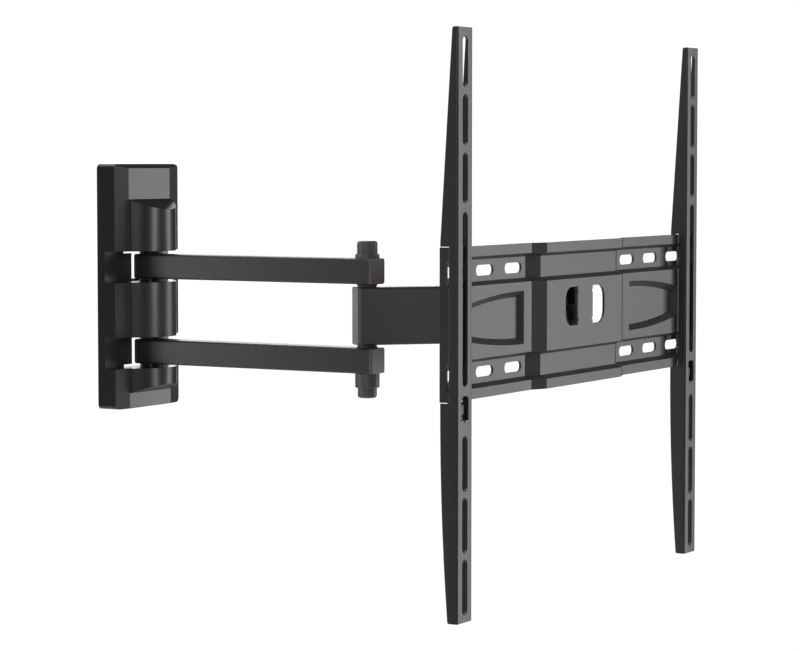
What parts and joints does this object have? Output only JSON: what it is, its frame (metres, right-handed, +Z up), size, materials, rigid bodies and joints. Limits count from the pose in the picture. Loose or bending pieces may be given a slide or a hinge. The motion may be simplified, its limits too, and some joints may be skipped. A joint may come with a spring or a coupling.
{
  "type": "full motion television wall mount",
  "caption": "Full motion wall mount: covered wall plate, swivelling folding arm, tilting pressed plate and slotted rails that slide and latch on it.",
  "frame": {"origin": "on the wall face (Y = 0), straight behind the wall pivot and at the mid height of the arms", "axes": "+Z up, +Y into the wall, +X to the right for someone who faces the wall"},
  "size_m": [0.4225, 0.3675, 0.43],
  "materials": {
    "powder_coat": "satin black powder coat",
    "cover_plastic": "satin black ABS",
    "cap_plastic": "dark grey-brown moulded plastic",
    "bush_plastic": "dark acetal",
    "plated_steel": "zinc plated",
    "black_steel": "black oxide",
    "spring_steel": "bright wire"
  },
  "bodies": {
    "wall_mount": {"wall_plate": "powder_coat", "upper_hinge_bracket": "powder_coat", "lower_hinge_bracket": "powder_coat", "wall_cover": "cover_plastic", "wall_pivot_pin": "black_steel", "wall_pivot_nut": "black_steel"},
    "double_arm": {"upper_tube": "powder_coat", "lower_tube": "powder_coat", "upper_wall_end_cap": "cap_plastic", "lower_wall_end_cap": "cap_plastic", "upper_elbow_end_cap": "cap_plastic", "lower_elbow_end_cap": "cap_plastic", "upper_wall_bush": "bush_plastic", "lower_wall_bush": "bush_plastic", "wall_thrust_rings": "bush_plastic", "elbow_pin": "black_steel", "elbow_nut": "plated_steel", "elbow_collar": "cap_plastic", "elbow_top_cap": "cap_plastic", "elbow_nut_housing": "cap_plastic", "elbow_bottom_cap": "cap_plastic"},
    "single_arm": {"outer_arm_tube": "powder_coat", "outer_arm_elbow_cap": "cap_plastic", "outer_arm_head_cap": "cap_plastic", "outer_arm_elbow_bush": "bush_plastic", "outer_arm_head_bush": "bush_plastic", "elbow_thrust_rings": "bush_plastic"},
    "head": {"head_yoke": "powder_coat", "head_pin": "black_steel", "head_nut": "plated_steel", "head_thrust_washers": "bush_plastic", "tilt_bolt": "black_steel", "tilt_nut": "black_steel", "tilt_washers": "black_steel", "tilt_spacer": "bush_plastic"},
    "plate": {"tilt_bracket": "powder_coat", "vesa_plate": "powder_coat"},
    "left_rail": {"left_rail": "powder_coat", "left_latch_guide": "plated_steel", "left_latch_spring": "spring_steel"},
    "right_rail": {"right_rail": "powder_coat", "right_latch_guide": "plated_steel", "right_latch_spring": "spring_steel"},
    "left_latch": {"left_latch": "black_steel"},
    "right_latch": {"right_latch": "black_steel"}
  },
  "joints": [
    {"name": "wall_swivel", "type": "hinge", "parent": "wall_mount", "child": "double_arm", "pos_m": [0, -0.0214, 0], "axis": [0, 0, 1], "range_deg": [-90, 90]},
    {"name": "elbow_swivel", "type": "hinge", "parent": "double_arm", "child": "single_arm", "pos_m": [0, -0.2274, 0], "axis": [0, 0, -1], "range_deg": [-105, 130]},
    {"name": "head_swivel", "type": "hinge", "parent": "single_arm", "child": "head", "pos_m": [0.1033, -0.32715, 0], "axis": [0, 0, 1], "range_deg": [-44, 110]},
    {"name": "tilt", "type": "hinge", "parent": "head", "child": "plate", "pos_m": [0.1033, -0.35215, 0], "axis": [1, 0, 0], "range_deg": [-12, 12]},
    {"name": "left_rail_slide", "type": "slide", "parent": "plate", "child": "left_rail", "axis": [1, 0, 0], "range_m": [0, 0.1]},
    {"name": "right_rail_slide", "type": "slide", "parent": "plate", "child": "right_rail", "axis": [-1, 0, 0], "range_m": [0, 0.1]},
    {"name": "left_latch_slide", "type": "slide", "parent": "left_rail", "child": "left_latch", "axis": [0, 0, -1], "range_m": [0, 0.006], "stiffness_N_per_m": 200, "springref_m": -0.004, "deforming": ["left_latch_spring"]},
    {"name": "right_latch_slide", "type": "slide", "parent": "right_rail", "child": "right_latch", "axis": [0, 0, -1], "range_m": [0, 0.006], "stiffness_N_per_m": 200, "springref_m": -0.004, "deforming": ["right_latch_spring"]}
  ]
}
